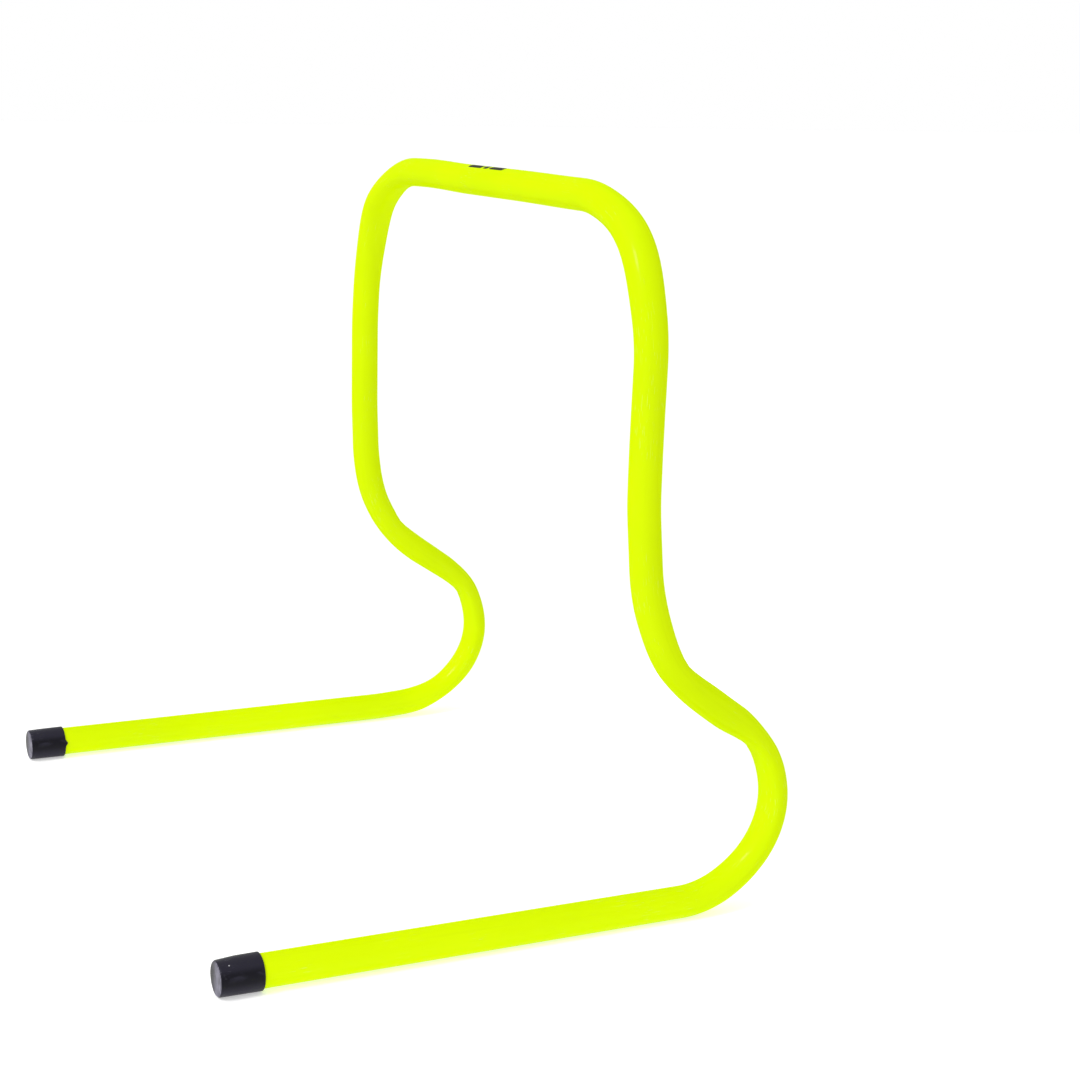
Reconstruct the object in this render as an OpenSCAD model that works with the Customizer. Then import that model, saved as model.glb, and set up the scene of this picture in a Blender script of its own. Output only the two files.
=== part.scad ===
// Free-standing agility hurdle: one continuous bent plastic tube with a soft push-on cap on each foot.
// Units are millimetres. +Z is up, +X is to the right and the feet point to the front, along -Y.
// The origin is on the floor, under the middle of the hurdle.

/* [Tube] */
// Outside diameter of the tube
tube_od = 21; // [16:1:26]
// Wall thickness of the tube
tube_wall = 2; // [1.5:0.1:3]

/* [Overall size] */
// Height from the floor to the top of the crossbar
hurdle_height = 470; // [380:5:760]
// Width over the outsides of the two legs
hurdle_width = 500; // [360:5:900]
// Straight length of each foot, from the open end of the tube to the rear bend
foot_length = 310; // [200:5:420]

/* [Bends] */
// Centreline radius of the tight bend at the back of each foot
rear_radius = 65; // [50:1:80]
// Angle through which the tight bend folds the tube back over the foot
rear_angle = 148; // [130:1:155]
// Straight length between the tight bend and the easy bend
neck_length = 15; // [2:1:40]
// Centreline radius of the easy bend that brings the tube upright
rise_radius = 118; // [80:2:140]
// Centreline radius of each top corner
corner_radius = 100; // [50:5:115]

/* [End caps] */
// Outside length of a cap
cap_length = 28; // [18:1:40]
// Thickness of a cap's side wall
cap_wall = 1.2; // [0.9:0.1:2]
// Thickness of a cap's closed end
cap_end = 2; // [1.5:0.1:4]
// Radius of the rounded edge round a cap's closed end
cap_nose_round = 1.6; // [0.5:0.1:2]
// Radius of the rounded edge round a cap's open rim
cap_rim_round = 0.5; // [0.2:0.1:0.6]
// Radial clearance between the tube and a cap's bore
cap_clearance = 0.05; // [0.01:0.01:0.1]

/* [Hidden] */
$fn = 96;
// Bends are drawn this much fatter in radius than the straight lengths, and run over them by this angle,
// so that each joint between them is a clean overlap
bend_swell = 0.15;
bend_lap = 0.4;
tube_r = tube_od / 2;
bore_d = tube_od - 2 * tube_wall;
// How far the bore's cutter runs past the tube's open ends
bore_overrun = 1;
cap_r = tube_r + cap_wall;
cap_grip = cap_length - cap_end;
leg_x = hurdle_width / 2 - tube_r;
// The caps are thicker than the tube, so each foot stands on its cap's rim and on the rear bend,
// and slopes down to the back by foot_slope.
stance_run = foot_length - cap_grip + cap_rim_round;
stance_rise = rear_radius + cap_r;
rear_outer_r = rear_radius + tube_r + bend_swell;
foot_slope = atan2(stance_rise, stance_run) - asin(rear_outer_r / norm([stance_run, stance_rise]));
// Distance from the front face of a cap to the back of the rear bend
hurdle_depth = rear_outer_r + rear_radius * sin(foot_slope) + (foot_length + cap_end) * cos(foot_slope);
// Centre of the rear bend, which just touches the floor
rear_centre_y = hurdle_depth / 2 - rear_outer_r;
// Middle of the tube's open end
foot_y = rear_centre_y - rear_radius * sin(foot_slope) - foot_length * cos(foot_slope);
foot_z = rear_outer_r - rear_radius * cos(foot_slope) + foot_length * sin(foot_slope);
// Angle through which the easy bend turns the tube back to vertical
rise_angle = rear_angle - 90;
upright_bottom_z = rear_outer_r + (rear_radius + rise_radius) * sin(rise_angle) + neck_length * cos(rise_angle);
upright_length = hurdle_height - tube_r - corner_radius - upright_bottom_z;
bar_length = 2 * (leg_x - corner_radius);

// A straight rod along +Y. Its children go on from its far end.
module straight(diameter, length) {
    rotate([-90, 0, 0])
        cylinder(d = diameter, h = length);
    translate([0, length, 0])
        children();
}

// A rod that starts along +Y and bends up towards +Z. Its children go on from its far end.
module bend(diameter, radius, angle) {
    translate([0, 0, radius]) {
        rotate([0, 90, 0])
            rotate_extrude(start = -bend_lap, angle = angle + 2 * bend_lap)
                translate([radius, 0])
                    circle(d = diameter + 2 * bend_swell);
        rotate([angle, 0, 0])
            translate([0, 0, -radius])
                children();
    }
}

// Turns its children about the rod's own line, which sets the way that the next bend goes
module roll(angle) {
    rotate([0, angle, 0])
        children();
}

// Places its children at the open end of the right foot's tube, with +Y along the tube
module at_right_foot() {
    translate([leg_x, foot_y, foot_z])
        rotate([-foot_slope, 0, 0])
            children();
}

// The bent rod, followed from the end of the right foot over the crossbar to the end of the left foot.
// It starts before the right foot's end by overrun, and goes on past the left foot's end by as much.
module bent_rod(diameter, overrun) {
    at_right_foot()
        translate([0, -overrun, 0])
        straight(diameter, foot_length + overrun)
        bend(diameter, rear_radius, rear_angle + foot_slope)
        straight(diameter, neck_length)
        roll(180)
        bend(diameter, rise_radius, rise_angle)
        straight(diameter, upright_length)
        roll(90)
        bend(diameter, corner_radius, 90)
        straight(diameter, bar_length)
        bend(diameter, corner_radius, 90)
        straight(diameter, upright_length)
        roll(-90)
        bend(diameter, rise_radius, rise_angle)
        straight(diameter, neck_length)
        roll(180)
        bend(diameter, rear_radius, rear_angle + foot_slope)
        straight(diameter, foot_length + overrun);
}

// The frame: one bent tube that is both feet, both uprights and the crossbar
module tube() {
    color("#dfff00")
        difference() {
            bent_rod(tube_od, 0);
            bent_rod(bore_d, bore_overrun);
        }
}

// Half section of a cap, with its closed end on the X axis and its rim at y = cap_length
module cap_section() {
    difference() {
        union() {
            square([cap_r - cap_nose_round, cap_length - cap_rim_round]);
            translate([cap_r - cap_nose_round, cap_nose_round])
                circle(r = cap_nose_round);
            translate([0, cap_nose_round])
                square([cap_r, cap_length - cap_nose_round - cap_rim_round]);
            translate([cap_r - cap_rim_round, cap_length - cap_rim_round])
                circle(r = cap_rim_round);
            square([cap_r - cap_rim_round, cap_length]);
        }
        translate([0, cap_end])
            square([tube_r + cap_clearance, cap_length]);
    }
}

// A soft cap, pushed on until its closed end meets the end of the tube
module cap() {
    color("#24222b")
        translate([0, -cap_end, 0])
            rotate([-90, 0, 0])
                rotate_extrude()
                    cap_section();
}

module left_cap() {
    mirror([1, 0, 0])
        at_right_foot()
            cap();
}

module right_cap() {
    at_right_foot()
        cap();
}

tube();
left_cap();
right_cap();
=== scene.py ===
"""Looks for the agility hurdle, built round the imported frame.

Metres, +Z up, and the feet point to the front along -Y. The tube is one swept mesh, with the flattening,
the dents and the slight bows that bending left in it. Each cap is a turned mesh with its own taper, rim
and flaws.
"""

import math

import bpy
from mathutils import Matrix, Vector


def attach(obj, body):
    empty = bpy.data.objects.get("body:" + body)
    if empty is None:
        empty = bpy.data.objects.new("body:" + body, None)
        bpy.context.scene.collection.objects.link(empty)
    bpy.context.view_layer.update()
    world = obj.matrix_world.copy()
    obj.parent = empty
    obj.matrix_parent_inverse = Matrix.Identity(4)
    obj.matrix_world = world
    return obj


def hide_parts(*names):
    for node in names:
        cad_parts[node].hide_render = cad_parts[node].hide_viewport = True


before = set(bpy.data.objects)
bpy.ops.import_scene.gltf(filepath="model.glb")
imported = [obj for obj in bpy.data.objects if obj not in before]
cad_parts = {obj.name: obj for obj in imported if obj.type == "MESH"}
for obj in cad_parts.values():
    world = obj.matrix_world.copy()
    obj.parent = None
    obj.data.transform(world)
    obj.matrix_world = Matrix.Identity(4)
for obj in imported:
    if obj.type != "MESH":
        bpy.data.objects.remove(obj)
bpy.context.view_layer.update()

# The tube's driving dimensions, as in the CAD source
HURDLE_WIDTH, HURDLE_HEIGHT = 0.500, 0.470
TUBE_R = 0.0105
TUBE_WALL = 0.002
FOOT_LENGTH = 0.310
REAR_R, REAR_ANGLE = 0.065, math.radians(148)
NECK = 0.015
RISE_R = 0.118
CORNER_R = 0.100
BEND_SWELL = 0.00015

# The caps' driving dimensions, as in the CAD source
CAP_LENGTH = 0.028
CAP_WALL = 0.0012
CAP_END = 0.002
CAP_CLEARANCE = 0.00005
CAP_NOSE = 0.0016
CAP_RIM = 0.0005

# What follows from them
LEG_X = HURDLE_WIDTH / 2 - TUBE_R
BAR_Z = HURDLE_HEIGHT - TUBE_R
RISE_ANGLE = REAR_ANGLE - math.pi / 2
CAP_R = TUBE_R + CAP_WALL
CAP_BORE_R = TUBE_R + CAP_CLEARANCE

# Mesh density: the tube's steps along straights and bends, and the points round the tube and round a cap
STRAIGHT_STEP, BEND_STEP = 0.006, 0.0025
RING_POINTS, CAP_POINTS = 48, 96

MM = 0.001


# ---------------------------------------------------------------- the tube's line

def stance():
    """The foot's slope, and the middle of its open end (y, z), worked out as the CAD source does."""
    run = FOOT_LENGTH - (CAP_LENGTH - CAP_END) + CAP_RIM
    rise = REAR_R + CAP_R
    outer = REAR_R + TUBE_R + BEND_SWELL
    slope = math.atan2(rise, run) - math.asin(outer / math.hypot(run, rise))
    depth = outer + REAR_R * math.sin(slope) + (FOOT_LENGTH + CAP_END) * math.cos(slope)
    y = depth / 2 - outer - REAR_R * math.sin(slope) - FOOT_LENGTH * math.cos(slope)
    z = outer - REAR_R * math.cos(slope) + FOOT_LENGTH * math.sin(slope)
    return slope, y, z


FOOT_SLOPE, OPEN_END_Y, OPEN_END_Z = stance()


def half_line():
    """Stations of the right half, from the foot's open end to the middle of the crossbar.

    Each is (distance along, centre, U, V). U and V span the tube's section: U is outwards on the leg and
    upwards on the crossbar, and V is upwards on the foot and forwards on the upright and the crossbar.
    """
    stations = []
    along = 0.0

    def run(length, step, place):
        """Adds the stations of one stretch, and leaves its far end to the next one."""
        nonlocal along
        n = max(1, round(length / step))
        for i in range(n):
            d = length * i / n
            centre, u, v = place(d)
            stations.append((along + d, Vector(centre), Vector(u), Vector(v)))
        along += length

    def leg_walk(start, turn):
        """Where a point of the leg's plane gets to after d metres, turning at a constant rate."""
        y, z, heading = start

        def at(d):
            if turn == 0:
                return y + d * math.cos(heading), z + d * math.sin(heading), heading
            h = heading + d * turn
            return (y + (math.sin(h) - math.sin(heading)) / turn,
                    z - (math.cos(h) - math.cos(heading)) / turn, h)
        return at

    def leg_place(at):
        def place(d):
            y, z, h = at(d)
            return (LEG_X, y, z), (1, 0, 0), (0, -math.sin(h), math.cos(h))
        return place

    point = (OPEN_END_Y, OPEN_END_Z, -FOOT_SLOPE)
    for length, turn in ((FOOT_LENGTH, 0.0), (REAR_R * (REAR_ANGLE + FOOT_SLOPE), 1 / REAR_R),
                         (NECK, 0.0), (RISE_R * RISE_ANGLE, -1 / RISE_R)):
        at = leg_walk(point, turn)
        run(length, BEND_STEP if turn else STRAIGHT_STEP, leg_place(at))
        point = at(length)
    y, z, heading = point
    upright_top = BAR_Z - CORNER_R
    run(upright_top - z, STRAIGHT_STEP, leg_place(leg_walk(point, 0.0)))

    def corner_place(d):
        a = d / CORNER_R
        return ((LEG_X - CORNER_R + CORNER_R * math.cos(a), y, upright_top + CORNER_R * math.sin(a)),
                (math.cos(a), 0, math.sin(a)), (0, -1, 0))
    run(CORNER_R * math.pi / 2, BEND_STEP, corner_place)

    half_bar = LEG_X - CORNER_R

    def bar_place(d):
        return (half_bar - d, y, BAR_Z), (0, 0, 1), (0, -1, 0)
    run(half_bar, STRAIGHT_STEP, bar_place)
    centre, u, v = bar_place(half_bar)
    stations.append((along, Vector(centre), Vector(u), Vector(v)))
    return stations


# ---------------------------------------------------------------- what bending did to the tube

def hump(s, low, peak, high):
    """A smooth hump of height 1 at `peak`, and 0 at `low` and `high`."""
    if not low < s < high:
        return 0.0
    t = (s - low) / (peak - low) if s < peak else (high - s) / (high - peak)
    return math.sin(math.pi / 2 * t) ** 2


def kink(s, at, before, after, soft=0.006):
    """A dent whose two flanks are nearly straight, with its deepest point at `at`."""
    d = s - at
    reach = after if d > 0 else before
    d = math.sqrt(d * d + soft * soft) - soft
    return max(0.0, 1 - d / reach) ** 2


def wrinkle(s, at, pitch=0.0075, spread=0.011):
    """The few fine folds that a kinked inner wall has on each side of the kink."""
    d = s - at
    return math.cos(2 * math.pi * d / pitch) * math.exp(-(d / spread) ** 2)


# Where the bends start and end along the tube, and how high their fine folds are. Millimetres.
BEND_SPAN = {"rear": (318, 484), "rise": (486, 620), "corner": (730, 895)}
WRINKLE = 0.14

# Of each bend: where its inner wall kinks along the tube, how far that dent runs before and after the
# kink, how deep it is, and how far the outer wall bulges and the sides spread. Millimetres.
BENDS = {
    "right": {
        "rear": dict(at=453, before=98, after=26, dent=4.3, bulge=-0.3, spread=1.0),
        "rise": dict(at=533, before=32, after=34, dent=2.6, bulge=0.4, spread=0.7),
        "corner": dict(at=806, before=60, after=60, dent=1.5, bulge=0.3, spread=1.5),
    },
    "left": {
        "rear": dict(at=443, before=100, after=32, dent=4.2, bulge=-0.5, spread=0.6),
        "rise": dict(at=533, before=38, after=38, dent=3.0, bulge=0.7, spread=0.7),
        "corner": dict(at=850, before=75, after=34, dent=1.5, bulge=0.2, spread=1.6),
    },
}

# How far the tube bows off its true line, because it was bent by hand: (start, most, end) along the tube,
# and how far towards +U and towards +V. Millimetres.
BOWS = {
    "right": [((345, 402, 450), 0.8, -1.5), ((440, 458, 480), -0.2, 0.5), ((480, 505, 560), 0.0, -1.2),
              ((540, 583, 625), 0.2, -1.0), ((605, 655, 800), -0.8, 2.1), ((766, 822, 872), 1.7, -2.1),
              ((862, 890, 990), -0.6, 0.1)],
    "left": [((285, 322, 360), 0.1, 1.4), ((355, 402, 442), -0.6, -1.9), ((440, 468, 500), 0.0, 0.6),
             ((560, 600, 650), -0.3, -1.1), ((700, 768, 825), -0.8, -1.9), ((805, 855, 900), -1.1, -1.3),
             ((872, 930, 995), 0.8, 0.0)],
}

# Flats that the bending left: (start, most, end) along the tube, and how much its +V and -V walls lose.
# Millimetres.
FLATS = {
    "right": [((335, 378, 450), 0.8, 0.0), ((322, 395, 470), 0.0, 0.7), ((428, 462, 492), 0.0, 1.1),
              ((535, 562, 590), 0.8, 0.0)],
    "left": [((312, 362, 425), 1.2, 0.0), ((322, 348, 378), 0.0, 1.5), ((350, 400, 460), 0.0, 0.6),
             ((436, 468, 520), 0.2, 1.6), ((540, 562, 600), 0.3, 0.8)],
}


def section(s, side):
    """Half widths of the outer wall at a station, towards +U, -U, +V and -V."""
    u_plus = u_minus = v_plus = v_minus = TUBE_R
    for name, bend in BENDS[side].items():
        low, high = (MM * end for end in BEND_SPAN[name])
        at = MM * bend["at"]
        swell = MM * hump(s, low, (low + high) / 2, high)
        dent = MM * bend["dent"] * kink(s, at, MM * bend["before"], MM * bend["after"])
        dent += MM * WRINKLE * wrinkle(s, at)
        bulge, spread = bend["bulge"] * swell, bend["spread"] * swell
        if name == "corner":
            u_plus, u_minus = u_plus + bulge, u_minus - dent
            v_plus, v_minus = v_plus + spread, v_minus + spread
            continue
        u_plus, u_minus = u_plus + spread, u_minus + spread
        if name == "rear":
            v_plus, v_minus = v_plus - dent, v_minus + bulge
        else:
            v_plus, v_minus = v_plus + bulge, v_minus - dent
    for (low, most, high), lost_above, lost_below in FLATS[side]:
        amount = MM * hump(s, MM * low, MM * most, MM * high)
        v_plus, v_minus = v_plus - lost_above * amount, v_minus - lost_below * amount
    return u_plus, u_minus, v_plus, v_minus


def ring(station, side, inset):
    """The points of one section, which has bowed off the true line."""
    s, centre, u, v = station
    for (low, most, high), along_u, along_v in BOWS[side]:
        amount = MM * hump(s, MM * low, MM * most, MM * high)
        centre = centre + u * (along_u * amount) + v * (along_v * amount)
    u_plus, u_minus, v_plus, v_minus = (width - inset for width in section(s, side))
    points = []
    for i in range(RING_POINTS):
        a = 2 * math.pi * i / RING_POINTS
        c, d = math.cos(a), math.sin(a)
        half_u = u_plus if c > 0 else u_minus
        half_v = v_plus if d > 0 else v_minus
        points.append(centre + u * c * half_u + v * d * half_v)
    return points


# ---------------------------------------------------------------- meshes

def new_object(name, vertices, faces, flow=None):
    """A smooth-shaded object. `flow` is each vertex's place on the straightened piece, for the grain."""
    mesh = bpy.data.meshes.new(name)
    mesh.from_pydata([tuple(p) for p in vertices], [], faces)
    mesh.update()
    if flow:
        layer = mesh.attributes.new("flow", "FLOAT_VECTOR", "POINT")
        for item, value in zip(layer.data, flow):
            item.vector = value
    for polygon in mesh.polygons:
        polygon.use_smooth = True
    obj = bpy.data.objects.new(name, mesh)
    bpy.context.scene.collection.objects.link(obj)
    return obj


def build_tube():
    """One closed mesh: outer wall, bore and the two cut ends."""
    right = half_line()
    middle = right[-1][0]

    def flip(p):
        return Vector((-p.x, p.y, p.z))

    left = [(s, flip(c), flip(u), v) for s, c, u, v in reversed(right[:-1])]
    stations = [(st, "right", st[0]) for st in right] + [(st, "left", 2 * middle - st[0]) for st in left]
    vertices, flow, faces = [], [], []
    for inset in (0.0, TUBE_WALL):
        for station, side, along in stations:
            vertices += ring(station, side, inset)
            for i in range(RING_POINTS):
                a = 2 * math.pi * i / RING_POINTS
                flow.append((TUBE_R * math.cos(a), TUBE_R * math.sin(a), along))
    count = len(stations)
    bore = count * RING_POINTS
    for k in range(RING_POINTS):
        n = (k + 1) % RING_POINTS
        for i in range(count - 1):
            a, b = i * RING_POINTS, (i + 1) * RING_POINTS
            faces.append((a + k, b + k, b + n, a + n))
            faces.append((bore + a + k, bore + a + n, bore + b + n, bore + b + k))
        last = (count - 1) * RING_POINTS
        faces.append((k, n, bore + n, bore + k))
        faces.append((last + n, last + k, bore + last + k, bore + last + n))
    return new_object("hurdle_tube", vertices, faces, flow)


# Of each cap: how far it sits forward of its CAD place and how much its rim falls short, how much its
# closed end narrows all round, how much its top is pressed down there and over what length, and its rim's
# stray bit of flash, as an angle round the cap, a half width and a length. Millimetres and degrees.
CAP_FLAWS = {
    "right": dict(forward=0.0, short=0.8, taper=0.25, press=0.9, press_length=13, flash=(200, 5, 0.3)),
    "left": dict(forward=1.6, short=1.4, taper=0.20, press=0.2, press_length=9, flash=(8, 9, 1.7)),
}
# How deep the closed end is dished, how far from the rim its shortfall and flash reach, and how the pressing
# spreads from the top: less than 1 spreads it further down the sides
CAP_DISH = 0.00018
FLASH_REACH = 0.004
PRESS_SPREAD = 0.8

# Steps along a cap's half section: over the closed end, round the nose, along the side, round the rim, down
# the bore and in over the bottom of the cup
FACE_STEPS, NOSE_STEPS, SIDE_STEPS, RIM_STEPS, BORE_STEPS, CUP_STEPS = 8, 8, 24, 5, 7, 5


def cap_profile():
    """Half section of a cap, from the middle of its closed end out, round the rim and down its bore.

    Gives its (distance along, radius) points, and how many of them are on the outside.
    """
    flat = CAP_R - CAP_NOSE
    side = CAP_LENGTH - CAP_NOSE - CAP_RIM
    bore = CAP_LENGTH - CAP_END
    points = []
    for i in range(1, FACE_STEPS + 1):
        a = math.pi / 2 * i / FACE_STEPS
        points.append((CAP_DISH * math.cos(a), flat * i / FACE_STEPS))
    for i in range(1, NOSE_STEPS + 1):
        a = math.pi / 2 * i / NOSE_STEPS
        points.append((CAP_NOSE * (1 - math.cos(a)), flat + CAP_NOSE * math.sin(a)))
    for i in range(1, SIDE_STEPS):
        points.append((CAP_NOSE + side * i / SIDE_STEPS, CAP_R))
    for i in range(RIM_STEPS + 1):
        a = math.pi / 2 * i / RIM_STEPS
        points.append((CAP_LENGTH - CAP_RIM * (1 - math.sin(a)), CAP_R - CAP_RIM * (1 - math.cos(a))))
    outside = len(points)
    for i in range(1, BORE_STEPS + 1):
        points.append((CAP_LENGTH - bore * i / BORE_STEPS, CAP_BORE_R))
    for i in range(1, CUP_STEPS):
        points.append((CAP_END, CAP_BORE_R * (1 - i / CUP_STEPS)))
    return points, outside


def build_cap(side):
    """A cap turned about the foot's line, then tapered, pressed and flashed as it was made and used."""
    flaws = CAP_FLAWS[side]
    x = LEG_X if side == "right" else -LEG_X
    back = Vector((0, math.cos(FOOT_SLOPE), -math.sin(FOOT_SLOPE)))
    up = Vector((0, math.sin(FOOT_SLOPE), math.cos(FOOT_SLOPE)))
    across = Vector((1, 0, 0))
    start = Vector((x, OPEN_END_Y, OPEN_END_Z)) - back * (CAP_END + MM * flaws["forward"])
    flash_at, flash_half, flash_length = flaws["flash"]
    profile, outside = cap_profile()
    vertices = [start + back * CAP_DISH]
    flow = [(0.0, 0.0, CAP_DISH)]
    for row, (t, r) in enumerate(profile):
        deep = r / CAP_R if row < outside else 0.0
        rim = max(0.0, 1 - (CAP_LENGTH - t) / FLASH_REACH)
        for k in range(CAP_POINTS):
            a = 2 * math.pi * k / CAP_POINTS
            radius = r - MM * flaws["taper"] * deep * (1 - t / CAP_LENGTH)
            top = max(0.0, math.sin(a)) ** PRESS_SPREAD
            radius -= MM * flaws["press"] * top * deep * max(0.0, 1 - t / (MM * flaws["press_length"]))
            gap = math.remainder(a - math.radians(flash_at), 2 * math.pi) / math.radians(flash_half)
            length = t + MM * (flash_length * math.exp(-gap * gap) - flaws["short"]) * rim
            vertices.append(start + back * length + (across * math.cos(a) + up * math.sin(a)) * radius)
            flow.append((r * math.cos(a), r * math.sin(a), t))
    vertices.append(start + back * CAP_END)
    flow.append((0.0, 0.0, CAP_END))
    faces = []
    rows = len(profile)
    centre = len(vertices) - 1
    for k in range(CAP_POINTS):
        n = (k + 1) % CAP_POINTS
        faces.append((0, 1 + k, 1 + n))
        for i in range(rows - 1):
            a, b = 1 + i * CAP_POINTS, 1 + (i + 1) * CAP_POINTS
            faces.append((a + k, b + k, b + n, a + n))
        last = 1 + (rows - 1) * CAP_POINTS
        faces.append((centre, last + n, last + k))
    return new_object(side + "_foot_cap", vertices, faces, flow)


# The printed mark, on the middle of the crossbar: how far it sits in front of the bar's top, over the
# curve, its dashes' sizes, the cut of their corners and the gap between them, how far the ink stands proud
# and sinks in, and the cells of its mesh along and across a dash
MARK_FRONT = 0.0030
LONG_DASH, SHORT_DASH, DASH_WIDTH = 0.0215, 0.0070, 0.0048
DASH_CORNER, DASH_GAP = 0.0008, 0.0032
INK_PROUD, INK_SUNK = 0.00006, 0.0002
DASH_CELLS, WIDTH_CELLS = 24, 8


def build_mark(bar_y):
    """A generic centre mark, a short dash between two long ones: thin closed films over the bar's curve."""
    vertices, faces = [], []

    def wrap(x, w, r):
        a = (MARK_FRONT + w) / TUBE_R
        return Vector((x, bar_y - r * math.sin(a), BAR_Z + r * math.cos(a)))

    def film(columns):
        """A closed film from columns of (x, half width), cut into cells across the curve."""
        above = len(vertices)
        for r in (TUBE_R + INK_PROUD, TUBE_R - INK_SUNK):
            for x, half in columns:
                for j in range(WIDTH_CELLS + 1):
                    vertices.append(wrap(x, half * (2 * j / WIDTH_CELLS - 1), r))
        below = above + len(columns) * (WIDTH_CELLS + 1)

        def at(base, i, j):
            return base + i * (WIDTH_CELLS + 1) + j

        def cell(base, i, j):
            return at(base, i, j), at(base, i, j + 1), at(base, i + 1, j + 1), at(base, i + 1, j)
        last = len(columns) - 1
        for i in range(last):
            for j in range(WIDTH_CELLS):
                faces.append(cell(above, i, j))
                faces.append(cell(below, i, j)[::-1])
            for j, turn in ((0, 1), (WIDTH_CELLS, -1)):
                wall = (at(above, i, j), at(above, i + 1, j), at(below, i + 1, j), at(below, i, j))
                faces.append(wall[::turn])
        for i, turn in ((0, -1), (last, 1)):
            for j in range(WIDTH_CELLS):
                wall = (at(above, i, j), at(above, i, j + 1), at(below, i, j + 1), at(below, i, j))
                faces.append(wall[::turn])

    offset = (SHORT_DASH + LONG_DASH) / 2 + DASH_GAP
    for middle, length in ((-offset, LONG_DASH), (0.0, SHORT_DASH), (offset, LONG_DASH)):
        columns = []
        for i in range(DASH_CELLS + 1):
            along = length * i / DASH_CELLS
            cut = max(0.0, DASH_CORNER - min(along, length - along))
            columns.append((middle - length / 2 + along, DASH_WIDTH / 2 - cut))
        film(columns)
    return new_object("centre_mark", vertices, faces)


# ---------------------------------------------------------------- materials

class Look:
    """A Principled material, with short ways to add the nodes that vary it over the surface."""

    def __init__(self, name):
        self.material = bpy.data.materials.new(name)
        self.material.use_nodes = True
        self.tree = self.material.node_tree
        self.shader = self.tree.nodes["Principled BSDF"]

    def set(self, **values):
        """Sets inputs of the shader that are the same all over."""
        for name, value in values.items():
            self.shader.inputs[name.replace("_", " ")].default_value = value

    def node(self, kind, **settings):
        made = self.tree.nodes.new("ShaderNode" + kind)
        for name, value in settings.items():
            setattr(made, name, value)
        return made

    def feed(self, socket, value):
        """Puts a number, a colour or another node's output on an input."""
        if isinstance(value, bpy.types.NodeSocket):
            self.tree.links.new(value, socket)
        elif isinstance(value, tuple) and len(value) == 3 and socket.type == "RGBA":
            socket.default_value = (*value, 1)
        else:
            socket.default_value = value

    def drive(self, name, value):
        """Puts a value that varies on one of the shader's own inputs."""
        self.feed(self.shader.inputs[name], value)

    def place(self):
        return self.node("TexCoord").outputs["Object"]

    def flow(self):
        """The place on the straightened piece: across and up from its middle line, and along it."""
        return self.node("Attribute", attribute_name="flow").outputs["Vector"]

    def stretch(self, vector, scale):
        made = self.node("VectorMath", operation="MULTIPLY")
        self.feed(made.inputs[0], vector)
        made.inputs[1].default_value = scale
        return made.outputs["Vector"]

    def part(self, vector, axis):
        made = self.node("SeparateXYZ")
        self.feed(made.inputs[0], vector)
        return made.outputs[axis]

    def noise(self, vector, scale, detail=2.0, roughness=0.5):
        made = self.node("TexNoise")
        self.feed(made.inputs["Vector"], vector)
        made.inputs["Scale"].default_value = scale
        made.inputs["Detail"].default_value = detail
        made.inputs["Roughness"].default_value = roughness
        return made.outputs["Fac"]

    def fade(self, value, start, end, low=0.0, high=1.0):
        """Maps a number smoothly from start..end to low..high, and holds it there outside."""
        made = self.node("MapRange", interpolation_type="SMOOTHSTEP")
        self.feed(made.inputs["Value"], value)
        for name, number in (("From Min", start), ("From Max", end), ("To Min", low), ("To Max", high)):
            made.inputs[name].default_value = number
        return made.outputs["Result"]

    def math(self, operation, a, b=0.0):
        made = self.node("Math", operation=operation)
        self.feed(made.inputs[0], a)
        self.feed(made.inputs[1], b)
        return made.outputs["Value"]

    def mix(self, amount, a, b):
        made = self.node("Mix", data_type="RGBA")
        self.feed(made.inputs["Factor"], amount)
        self.feed(made.inputs["A"], a)
        self.feed(made.inputs["B"], b)
        return made.outputs["Result"]

    def bump(self, height, depth):
        made = self.node("Bump")
        self.feed(made.inputs["Height"], height)
        made.inputs["Distance"].default_value = depth
        self.drive("Normal", made.outputs["Normal"])


# Colours are linear. The tube is a neon pigment right through its plastic.
NEON = (0.595, 0.795, 0.0)
NEON_PALE = (0.625, 0.820, 0.0)
NEON_DEEP = (0.570, 0.760, 0.0)
NEON_WORN = (0.660, 0.780, 0.160)
# Its gloss is all in a thin coat of high index. Seen at a shallow angle, this whitens the tube less than a
# glassy coat that shows the lamp's highlight as strongly.
NEON_GLOSS = dict(Specular_IOR_Level=0.0, Coat_Weight=0.022, Coat_IOR=2.4, Coat_Roughness=0.14)
# The heights above the floor at which the grit starts and is full
GRIT_HEIGHT = (0.0062, 0.0008)


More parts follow.
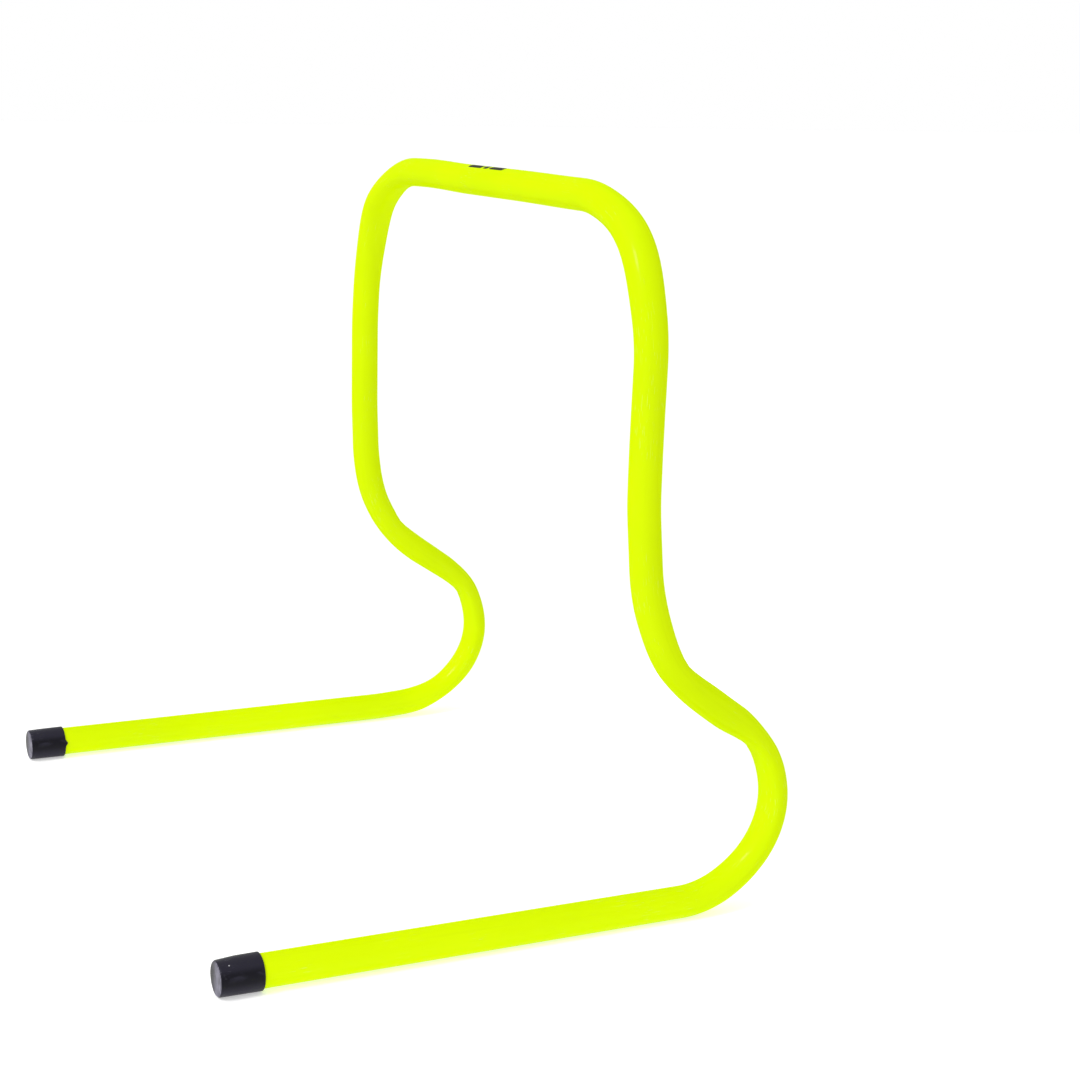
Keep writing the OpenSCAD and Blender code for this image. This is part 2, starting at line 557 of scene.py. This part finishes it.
def tube_material():
    """Extruded plastic: cloudy pigment, faint lines along it, fine scratches, and grit near the floor."""
    look = Look("neon_plastic")
    place, flow = look.place(), look.flow()
    cloud = look.fade(look.noise(place, 11, detail=3), 0.35, 0.65)
    line = look.noise(look.stretch(flow, (1, 1, 0.02)), 520, detail=3)
    scratch = look.fade(look.noise(look.stretch(flow, (1, 1, 0.05)), 2600, detail=1), 0.66, 0.74)
    patch = look.fade(look.noise(place, 26, detail=2), 0.50, 0.64)
    low = look.fade(look.part(place, "Z"), *GRIT_HEIGHT)
    grit = look.fade(look.noise(place, 900, detail=3), 0.42, 0.62)
    rub = look.math("MAXIMUM", look.math("MULTIPLY", scratch, patch), look.math("MULTIPLY", low, grit))
    colour = look.mix(cloud, NEON, NEON_PALE)
    colour = look.mix(look.fade(line, 0.52, 0.75, 0.0, 0.35), colour, NEON_DEEP)
    look.drive("Base Color", look.mix(look.math("MULTIPLY", rub, 0.6), colour, NEON_WORN))
    sheen = look.fade(look.noise(place, 40, detail=3), 0.3, 0.7, 0.28, 0.36)
    look.drive("Roughness", look.math("ADD", sheen, look.math("MULTIPLY", rub, 0.25)))
    ripple = look.math("ADD", line, look.math("MULTIPLY", look.noise(place, 380, detail=2), 0.6))
    look.bump(look.math("SUBTRACT", ripple, look.math("MULTIPLY", rub, 0.5)), 0.00003)
    look.set(**NEON_GLOSS)
    return look.material


VINYL = (0.0050, 0.0045, 0.0085)
VINYL_GREY = (0.0260, 0.0240, 0.0400)
VINYL_SCUFF = (0.1100, 0.1060, 0.1350)
VINYL_FACE_SHEEN = (0.2500, 0.2400, 0.3000)
# Where things on a cap start and are full. The heights are from the foot's middle line: the blotches' height
# keeps their painted sheen to the top, and the two bands are painted reflection. The distances along are
# from the cap's closed end, and the painted sheen on the closed end is lighter to one side across from its
# middle.
BLOTCH_SHEEN_HEIGHT = (-0.0010, 0.0050)
LOW_REFLECTION_BAND, HIGH_REFLECTION_BAND = (0.0000, -0.0060), (0.0045, 0.0085)
SCUFF_ALONG, SCUFF_HEIGHT = (0.013, 0.003), (0.0015, 0.0070)
FACE_SHEEN_ALONG, FACE_SHEEN_ACROSS = (0.00060, 0.00020), (-0.006, 0.003)
# A bright fleck on the right cap, and the distances from its middle over which it ends
FLECK = (0.36, 0.36, 0.38)
FLECK_PLACE = (0.2455, -0.1874, 0.0211)
FLECK_EDGE = (0.0006, 0.0003)


def cap_material():
    """Dipped soft vinyl: grey blotches that are also a painted sheen on top, two bands of painted
    reflection, scuffs, one bright fleck, and a painted sheen on the closed end.
    """
    look = Look("cap_vinyl")
    place, flow = look.place(), look.flow()
    across, height, along = (look.part(flow, axis) for axis in "XYZ")
    # Grey blotches of random tone, kept to the cap's upper side, where they are also a painted sheen of the
    # light from above
    blotch_and_top_sheen = look.noise(look.stretch(flow, (1, 1, 0.45)), 190, detail=3, roughness=0.6)
    blotch_and_top_sheen = look.math("MULTIPLY", look.fade(blotch_and_top_sheen, 0.46, 0.70), look.fade(height, *BLOTCH_SHEEN_HEIGHT))
    # Painted reflection: two lighter bands, one along the top of the cap's side and one along its bottom
    reflection_bands = look.math("MAXIMUM", look.fade(height, *LOW_REFLECTION_BAND), look.fade(height, *HIGH_REFLECTION_BAND))
    grey = look.math("MAXIMUM", look.math("MULTIPLY", blotch_and_top_sheen, 0.70), look.math("MULTIPLY", reflection_bands, 0.55))
    colour = look.mix(grey, VINYL, VINYL_GREY)
    streak = look.fade(look.noise(look.stretch(place, (1500, 260, 320)), 1.0, detail=3), 0.56, 0.74)
    scuff = look.math("MULTIPLY", look.fade(along, *SCUFF_ALONG), look.fade(height, *SCUFF_HEIGHT))
    scuff = look.math("MULTIPLY", look.math("MULTIPLY", streak, scuff), 0.45)
    colour = look.mix(scuff, colour, VINYL_SCUFF)
    from_fleck = look.node("VectorMath", operation="DISTANCE")
    look.feed(from_fleck.inputs[0], place)
    from_fleck.inputs[1].default_value = FLECK_PLACE
    colour = look.mix(look.fade(from_fleck.outputs["Value"], *FLECK_EDGE), colour, FLECK)
    # Painted sheen: the closed end is pale grey, lighter to one side and streaked
    face_sheen = look.math("MULTIPLY", look.fade(along, *FACE_SHEEN_ALONG), look.fade(across, *FACE_SHEEN_ACROSS))
    face_sheen_streak = look.noise(look.stretch(place, (1400, 1, 170)), 1.0, detail=3)
    face_sheen_streak = look.fade(face_sheen_streak, 0.30, 0.72, 0.30, 1.0)
    look.drive("Base Color", look.mix(look.math("MULTIPLY", face_sheen, face_sheen_streak), colour, VINYL_FACE_SHEEN))
    # A little rougher where the blotches and the closed end's painted sheen are
    rough_patches = look.math("MAXIMUM", look.math("MULTIPLY", blotch_and_top_sheen, 0.12), look.math("MULTIPLY", face_sheen, 0.2))
    look.drive("Roughness", look.math("ADD", 0.36, rough_patches))
    pits = look.math("ADD", look.noise(place, 420, detail=3), look.math("MULTIPLY", streak, 0.4))
    look.bump(pits, 0.00008)
    look.set(Specular_IOR_Level=0.12)
    return look.material


INK, INK_THIN = (0.005, 0.007, 0.003), (0.040, 0.055, 0.004)


def ink_material():
    """Screen-printed ink, thin enough in places for the tube to show through."""
    look = Look("print_ink")
    place = look.place()
    thin = look.fade(look.noise(place, 900, detail=3), 0.57, 0.68)
    look.drive("Base Color", look.mix(thin, INK, INK_THIN))
    look.drive("Roughness", look.fade(thin, 0.0, 1.0, 0.45, 0.60))
    look.bump(look.noise(place, 1500, detail=2), 0.00001)
    look.set(Specular_IOR_Level=0.04)
    return look.material


# ---------------------------------------------------------------- camera, lights and floor

CAMERA_AZIMUTH, CAMERA_ELEVATION, CAMERA_ROLL = (math.radians(angle) for angle in (63.84, 12.29, 1.3))
CAMERA_TARGET = Vector((0, 0.1289, 0.20097))
CAMERA_DISTANCE = 1.54804
CAMERA_SENSOR, CAMERA_LENS = 36, 70.57
CAMERA_NEAR, CAMERA_FAR = 0.05, 60


def build_camera():
    azimuth, elevation, roll = CAMERA_AZIMUTH, CAMERA_ELEVATION, CAMERA_ROLL
    back = Vector((math.sin(azimuth) * math.cos(elevation),
                   -math.cos(azimuth) * math.cos(elevation),
                   math.sin(elevation)))
    right = Vector((-back.y, back.x, 0)).normalized()
    up = back.cross(right)
    right, up = right * math.cos(roll) + up * math.sin(roll), up * math.cos(roll) - right * math.sin(roll)
    data = bpy.data.cameras.new("camera")
    data.sensor_width, data.lens = CAMERA_SENSOR, CAMERA_LENS
    data.clip_start, data.clip_end = CAMERA_NEAR, CAMERA_FAR
    camera = bpy.data.objects.new("camera", data)
    bpy.context.scene.collection.objects.link(camera)
    matrix = camera.matrix_world.to_3x3()
    for i, axis in enumerate((right, up, back)):
        matrix.col[i] = axis
    camera.matrix_world = matrix.to_4x4()
    camera.location = CAMERA_TARGET + back * CAMERA_DISTANCE
    bpy.context.scene.camera = camera


# The light comes from above the hurdle's front. The lamp gives the small highlight on the right corner.
KEY_FROM = Vector((0.10, -0.62, 0.78))
KEY_STRENGTH, KEY_ANGLE = 0.35, math.radians(60)
LAMP_FROM = Vector((0.232, -0.623, 0.742))
LAMP_STRENGTH, LAMP_ANGLE = 0.95, math.radians(12)
# The white all round is dimmed overhead: it starts to dim at the first height and is dimmest at the second,
# where 0 is the horizon and 1 is straight up
DIM_HEIGHT, DIMMEST = (0.08, 0.45), 0.84
# The floor: half its side, its white, and the glow that it has away from the feet's lines and on them, with
# the distances from those lines between which it changes
FLOOR_REACH = 20
FLOOR_WHITE = (0.84, 0.84, 0.84, 1)
GLOW_STRENGTH, GLOW_DISTANCE = (0.10, 0.44), (0.14, 0.03)


def new_sun(name, source, energy, angle):
    """A sun that shines from the direction `source`, with a disc of the given angle."""
    data = bpy.data.lights.new(name, "SUN")
    data.energy, data.angle = energy, angle
    light = bpy.data.objects.new(name, data)
    bpy.context.scene.collection.objects.link(light)
    light.rotation_euler = source.to_track_quat("Z", "Y").to_euler()


def floor_material():
    """Matt white, with a little glow of its own, most of all along the two lines that the feet stand on."""
    look = Look("floor_white")
    look.set(Base_Color=FLOOR_WHITE, Roughness=0.9, Specular_IOR_Level=0.1, Emission_Color=(1, 1, 1, 1))
    across = look.math("ABSOLUTE", look.part(look.place(), "X"))
    from_foot = look.math("ABSOLUTE", look.math("SUBTRACT", across, LEG_X))
    look.drive("Emission Strength", look.fade(from_foot, *GLOW_DISTANCE, *GLOW_STRENGTH))
    return look.material


def build_studio():
    """White all round, a little dimmer overhead, with a broad key light, one lamp and a white floor."""
    world = bpy.data.worlds.new("studio")
    bpy.context.scene.world = world
    world.use_nodes = True
    nodes, links = world.node_tree.nodes, world.node_tree.links
    height = nodes.new("ShaderNodeSeparateXYZ")
    links.new(nodes.new("ShaderNodeTexCoord").outputs["Generated"], height.inputs[0])
    ceiling = nodes.new("ShaderNodeMapRange")
    starts, ends = DIM_HEIGHT
    for name, number in (("From Min", starts), ("From Max", ends), ("To Min", 1.0), ("To Max", DIMMEST)):
        ceiling.inputs[name].default_value = number
    links.new(height.outputs["Z"], ceiling.inputs["Value"])
    links.new(ceiling.outputs["Result"], nodes["Background"].inputs["Strength"])
    nodes["Background"].inputs["Color"].default_value = (1, 1, 1, 1)
    new_sun("key", KEY_FROM, KEY_STRENGTH, KEY_ANGLE)
    new_sun("lamp", LAMP_FROM, LAMP_STRENGTH, LAMP_ANGLE)
    corners = [(x * FLOOR_REACH, y * FLOOR_REACH, 0) for x, y in ((-1, -1), (1, -1), (1, 1), (-1, 1))]
    floor = new_object("floor", corners, [(0, 1, 2, 3)])
    floor.data.materials.append(floor_material())
    bpy.context.scene.view_settings.view_transform = "Standard"


# ---------------------------------------------------------------- assembly

build_camera()

tube = build_tube()
tube.data.materials.append(tube_material())
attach(tube, "frame")
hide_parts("tube")

vinyl = cap_material()
for side in ("left", "right"):
    cap = build_cap(side)
    cap.data.materials.append(vinyl)
    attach(cap, side + "_cap")
    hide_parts(side + "_cap")

bar_line_y = half_line()[-1][1].y
mark = build_mark(bar_line_y)
mark.data.materials.append(ink_material())
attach(mark, "frame")

build_studio()
